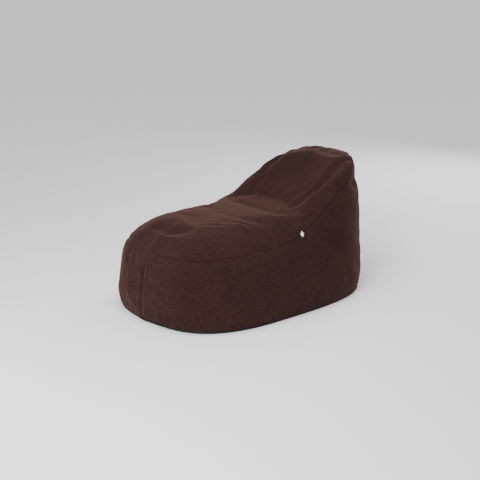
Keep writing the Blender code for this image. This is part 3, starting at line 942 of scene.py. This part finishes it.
BROWN, tree, shader = finish(
    "brown_woven_polyester", 0.92, shine=0.08, sheen=0.45, sheen_tint="#80594f", sheen_rough=0.42
)
place = node(tree, "TexCoord", {}).outputs["Object"]
threads = node(tree, "UVMap", {}, uv_map="threads").outputs["UV"]
per_thread = (math.pi / THREAD_PITCH,) * 3
turned = node(tree, "VectorMath", {0: threads, 1: per_thread}, operation="MULTIPLY")
across = node(tree, "SeparateXYZ", {"Vector": turned.outputs[0]})
warp = node(tree, "Math", {0: across.outputs["X"]}, operation="SINE")
weft = node(tree, "Math", {0: across.outputs["Y"]}, operation="SINE")
over = node(tree, "Math", {0: warp.outputs[0], 1: weft.outputs[0]}, operation="MULTIPLY")
raised = node(tree, "Math", {0: over.outputs[0]}, operation="ABSOLUTE")
speckle = node(tree, "TexNoise", {"Vector": place, "Scale": 1 / SPECKLE, "Detail": 3.0, "Roughness": 0.65})
clouds = node(tree, "TexNoise", {"Vector": place, "Scale": 1 / CLOUD, "Detail": 2.0, "Roughness": 0.5})
yarn = node(tree, "ValToRGB", {"Fac": speckle.outputs["Fac"]})
yarn.color_ramp.elements[0].position, yarn.color_ramp.elements[0].color = 0.34, linear("#1b100f")
yarn.color_ramp.elements[1].position, yarn.color_ramp.elements[1].color = 0.68, linear("#35211e")
weave_range = {"Value": over.outputs[0], **WAVE, "To Min": 0.82, "To Max": 1.14}
weave_shade = node(tree, "MapRange", weave_range)
cloud_range = {"Value": clouds.outputs["Fac"], **NOISE_SPAN, "To Min": 0.88, "To Max": 1.10}
cloud_shade = node(tree, "MapRange", cloud_range)
# This attribute darkens the cloth with painted shade down in the seams, and makes it a little paler with
# wear beside them.
wear = node(tree, "Attribute", {}, attribute_name="wear", attribute_type="GEOMETRY")
wear_and_painted_shade_range = {"Value": wear.outputs["Fac"], **WAVE, "To Min": 0.4, "To Max": 1.6}
wear_and_painted_shade_scale = node(tree, "MapRange", wear_and_painted_shade_range)
both = {0: weave_shade.outputs[0], 1: cloud_shade.outputs[0]}
shade = node(tree, "Math", both, operation="MULTIPLY")
shade = node(tree, "Math", {0: shade.outputs[0], 1: wear_and_painted_shade_scale.outputs[0]}, operation="MULTIPLY")
dyed = {0: yarn.outputs["Color"], "Scale": shade.outputs[0]}
colour = node(tree, "VectorMath", dyed, operation="SCALE")
tree.links.new(colour.outputs[0], shader.inputs["Base Color"])
fuzz = node(tree, "Math", {0: raised.outputs[0], 1: 0.6}, operation="MULTIPLY")
relief = node(tree, "Math", {0: fuzz.outputs[0], 1: speckle.outputs["Fac"]}, operation="ADD")
bump = node(tree, "Bump", {"Strength": 0.55, "Distance": 0.5 * MM, "Height": relief.outputs[0]})
tree.links.new(bump.outputs[0], shader.inputs["Normal"])
print("cloth drawn with threads", THREAD_PITCH / MM, "mm apart")

# %% [markdown]
# ### Coated black cloth
#
# The base and the badge's patch are a polyester with a thin rubbery coating. The coating fills
# the weave, so only a faint grid shows, with a dull gloss and scuffs where it rubs the floor.

# %% Coated black polyester
COATED_PITCH, SCUFF = 2.4 * MM, 0.03  # between threads, drawn coarse so that they show
BLACK, tree, shader = finish("black_coated_polyester", 0.62, ior=1.48, shine=0.25)
place = node(tree, "TexCoord", {}).outputs["Object"]
per_thread = (math.pi / COATED_PITCH,) * 3
ribs = node(tree, "VectorMath", {0: place, 1: per_thread}, operation="MULTIPLY")
axes = node(tree, "SeparateXYZ", {"Vector": ribs.outputs[0]})
waves = [node(tree, "Math", {0: axes.outputs[k]}, operation="SINE").outputs[0] for k in "XYZ"]
grid = node(tree, "Math", {0: waves[0], 1: waves[1]}, operation="MULTIPLY")
grid = node(tree, "Math", {0: grid.outputs[0], 1: waves[2]}, operation="ADD")
scuffs = node(tree, "TexNoise", {"Vector": place, "Scale": 1 / SCUFF, "Detail": 5.0, "Roughness": 0.7})
dust = node(tree, "ValToRGB", {"Fac": scuffs.outputs["Fac"]})
dust.color_ramp.elements[0].position, dust.color_ramp.elements[0].color = 0.42, linear("#0c0b0c")
dust.color_ramp.elements[1].position, dust.color_ramp.elements[1].color = 0.80, linear("#1d1a1a")
tree.links.new(dust.outputs["Color"], shader.inputs["Base Color"])
gloss_range = {"Value": scuffs.outputs["Fac"], **NOISE_SPAN, "To Min": 0.55, "To Max": 0.75}
gloss = node(tree, "MapRange", gloss_range)
tree.links.new(gloss.outputs[0], shader.inputs["Roughness"])
bump = node(tree, "Bump", {"Strength": 0.3, "Distance": 0.2 * MM, "Height": grid.outputs[0]})
tree.links.new(bump.outputs[0], shader.inputs["Normal"])
print("black cloth ready")

# %% [markdown]
# ### Woven tapes, thread and liner
#
# Zip tape is a tight warp-ribbed ribbon. Sewing thread is two plies twisted together. The liner is
# a thin pressed web of white fibres, with no threads at all. All three are a dyed or plain
# polyester with a fine pattern, so one cell makes each from its colours and its pattern size.

# %% Ribbed and fibrous polyesters
def fibre_finish(name, dark, light, grain, rib, roughness):
    """Polyester with ribs so far apart over a fibrous mottle of that grain."""
    made, tree, shader = finish(name, roughness, shine=0.15, sheen=0.12, sheen_tint=light)
    place = node(tree, "TexCoord", {}).outputs["Object"]
    steps = node(tree, "VectorMath", {0: place, 1: (math.pi / rib,) * 3}, operation="MULTIPLY")
    axes = node(tree, "SeparateXYZ", {"Vector": steps.outputs[0]})
    one = node(tree, "Math", {0: axes.outputs["X"]}, operation="SINE")
    both = node(tree, "Math", {0: axes.outputs["Y"], 1: axes.outputs["Z"]}, operation="ADD")
    two = node(tree, "Math", {0: both.outputs[0]}, operation="SINE")
    ribs = node(tree, "Math", {0: one.outputs[0], 1: two.outputs[0]}, operation="MULTIPLY")
    mottle = node(tree, "TexNoise", {"Vector": place, "Scale": 1 / grain, "Detail": 4.0, "Roughness": 0.7})
    shades = node(tree, "ValToRGB", {"Fac": mottle.outputs["Fac"]})
    shades.color_ramp.elements[0].position, shades.color_ramp.elements[0].color = 0.35, linear(dark)
    shades.color_ramp.elements[1].position, shades.color_ramp.elements[1].color = 0.70, linear(light)
    tree.links.new(shades.outputs["Color"], shader.inputs["Base Color"])
    relief = node(tree, "Math", {0: ribs.outputs[0], 1: mottle.outputs["Fac"]}, operation="ADD")
    bump = node(tree, "Bump", {"Strength": 0.5, "Distance": 0.15 * MM, "Height": relief.outputs[0]})
    tree.links.new(bump.outputs[0], shader.inputs["Normal"])
    return made


TAPE = fibre_finish("brown_ribbed_zip_tape", "#241614", "#3a2623", 2 * MM, 0.8 * MM, 0.88)
THREAD_LOOK = fibre_finish("brown_sewing_thread", "#261715", "#3f2926", 3 * MM, 0.5 * MM, 0.8)
LINER_LOOK = fibre_finish("white_pressed_liner", "#b9b4a8", "#d6d2c8", 5 * MM, 1.2 * MM, 0.85)
print("fibre finishes:", TAPE.name, THREAD_LOOK.name, LINER_LOOK.name)

# %% [markdown]
# ### Nylon, zinc, badge and beads
#
# The coil is drawn nylon, smooth and a little glossy. Slider and pull are die-cast zinc, plated
# dark and tumbled, so their colour is the metal's own and wear shows as brighter blotches. The
# badge is a pale satin plastic. Foamed polystyrene beads are 3 to 5 mm balls pressed together,
# which a cell pattern draws.

# %% Nylon, zinc, badge and beads
def moulded_finish(name, dark, light, grain, rough_low, rough_high, metallic=0.0, ior=1.53):
    """A smooth material whose colour and gloss drift over the surface."""
    made, tree, shader = finish(name, rough_low, metallic=metallic, ior=ior)
    place = node(tree, "TexCoord", {}).outputs["Object"]
    drift = node(tree, "TexNoise", {"Vector": place, "Scale": 1 / grain, "Detail": 5.0, "Roughness": 0.6})
    shades = node(tree, "ValToRGB", {"Fac": drift.outputs["Fac"]})
    shades.color_ramp.elements[0].position, shades.color_ramp.elements[0].color = 0.35, linear(dark)
    shades.color_ramp.elements[1].position, shades.color_ramp.elements[1].color = 0.70, linear(light)
    tree.links.new(shades.outputs["Color"], shader.inputs["Base Color"])
    gloss_range = {"Value": drift.outputs["Fac"], **NOISE_SPAN, "To Min": rough_low, "To Max": rough_high}
    gloss = node(tree, "MapRange", gloss_range)
    tree.links.new(gloss.outputs[0], shader.inputs["Roughness"])
    dents = {"Strength": 0.2, "Distance": 0.05 * MM, "Height": drift.outputs["Fac"]}
    bump = node(tree, "Bump", dents)
    tree.links.new(bump.outputs[0], shader.inputs["Normal"])
    return made


NYLON = moulded_finish("brown_drawn_nylon", "#2a1a18", "#38241f", 6 * MM, 0.35, 0.5)
WHITE_NYLON = moulded_finish("white_drawn_nylon", "#c9c9c4", "#dcdcd8", 6 * MM, 0.35, 0.5)
ZINC = moulded_finish("dark_plated_zinc", "#5a5652", "#8c867f", 3 * MM, 0.28, 0.45, metallic=1.0, ior=1.5)
BADGE = moulded_finish("pale_satin_plastic", "#d9cccb", "#efe4e3", 4 * MM, 0.32, 0.42, ior=1.49)

BEADS, tree, shader = finish("polystyrene_beads", 0.7, ior=1.55)
place = node(tree, "TexCoord", {}).outputs["Object"]
balls = node(tree, "TexVoronoi", {"Vector": place, "Scale": 1 / (4 * MM)})
# Painted shade: each ball is white in its middle and greyer out to where it meets its neighbours.
shades = node(tree, "ValToRGB", {"Fac": balls.outputs["Distance"]})
shades.color_ramp.elements[0].color = linear("#f0f0ee")
shades.color_ramp.elements[1].color = linear("#b8b8b4")
tree.links.new(shades.outputs["Color"], shader.inputs["Base Color"])
gaps = {"Strength": 0.8, "Distance": 1.5 * MM, "Height": balls.outputs["Distance"]}
bump = node(tree, "Bump", gaps, invert=True)
tree.links.new(bump.outputs[0], shader.inputs["Normal"])
print("finishes:", len(bpy.data.materials))

# %% Giving each piece its finish
FINISHES = [
    (BROWN, COVERS), (BLACK, [base_cover, badge_patch]), (TAPE, TAPES), (THREAD_LOOK, STITCHING),
    (LINER_LOOK, [*liners, *LINER_TAPES]), (NYLON, COILS), (WHITE_NYLON, [*LINER_COILS, *LINER_NYLON]),
    (ZINC, METAL), (BADGE, [badge_face]), (BEADS, [bead_heap]),
]
for look, pieces in FINISHES:
    for piece in pieces:
        piece.data.materials.clear()
        piece.data.materials.append(look)
plain = [n for n in frame["nodes"] if not bpy.data.objects[n].hide_render]
print("CAD pieces still shown:", plain)

# %% [markdown]
# ## The studio
#
# A pale floor that runs out to the horizon under a pale sky, one large soft light from the
# front left, a weak one close to the foot end and a small one over the seat. Because these are
# close, their light falls off along the chair, so the seat is bright and the backrest in half
# shade. A fourth, behind the chair, only opens up the back, which the others leave black.

# %% Floor and sky
floor_bm = bmesh.new()
bmesh.ops.create_grid(floor_bm, x_segments=1, y_segments=1, size=90.0)
bmesh.ops.translate(floor_bm, vec=(0, 0, -0.4 * MM), verts=floor_bm.verts)
floor = finished("floor", floor_bm)
FLOOR_LOOK, tree, shader = finish("pale_studio_floor", 0.9)
shader.inputs["Base Color"].default_value = linear("#f4f4f4")
floor.data.materials.append(FLOOR_LOOK)
floor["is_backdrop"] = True

sky = bpy.data.worlds.new("sky")
sky.use_nodes = True
sky.node_tree.nodes["Background"].inputs["Color"].default_value = linear("#ffffff")
sky.node_tree.nodes["Background"].inputs["Strength"].default_value = 0.9
bpy.context.scene.world = sky
print("floor and sky made")


# %% Lights
def from_angles(azimuth, elevation):
    a, e = math.radians(azimuth), math.radians(elevation)
    return Vector((math.sin(a) * math.cos(e), -math.cos(a) * math.cos(e), math.sin(e)))


def soft_light(name, azimuth, elevation, distance, size, power):
    lamp = bpy.data.lights.new(name, "AREA")
    lamp.shape, lamp.size, lamp.energy = "DISK", size, power
    made = bpy.data.objects.new(name, lamp)
    way = from_angles(azimuth, elevation)
    made.location = Vector((0, 0, 0.3)) + way * distance
    made.rotation_euler = way.to_track_quat("Z", "Y").to_euler()
    bpy.context.scene.collection.objects.link(made)


soft_light("key", 34, 29, 3.5, 1.6, 112)
soft_light("front", -3, 14, 1.9, 0.9, 7)
soft_light("overhead", 25, 74, 1.5, 0.7, 11)
soft_light("rear", 196, 22, 3.4, 1.6, 45)

# %% Camera
lens = bpy.data.cameras.new("camera")
lens.sensor_width, lens.lens = 36.0, 76.4
lens.shift_x, lens.shift_y = -0.0056, -0.0095
camera = bpy.data.objects.new("camera", lens)
way = from_angles(49.8, 16.2)
camera.location = Vector((0, MIDDLE, 0.275)) + way * 4.62
camera.rotation_euler = way.to_track_quat("Z", "Y").to_euler()
bpy.context.scene.collection.objects.link(camera)
bpy.context.scene.camera = camera
print("camera at", [round(c, 2) for c in camera.location])

# %% Sizes and the end
look_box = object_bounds()
for title, box in (("CAD box", CAD_BOX), ("visual box", look_box)):
    print(title, [[round(c, 3) for c in p] for p in box])
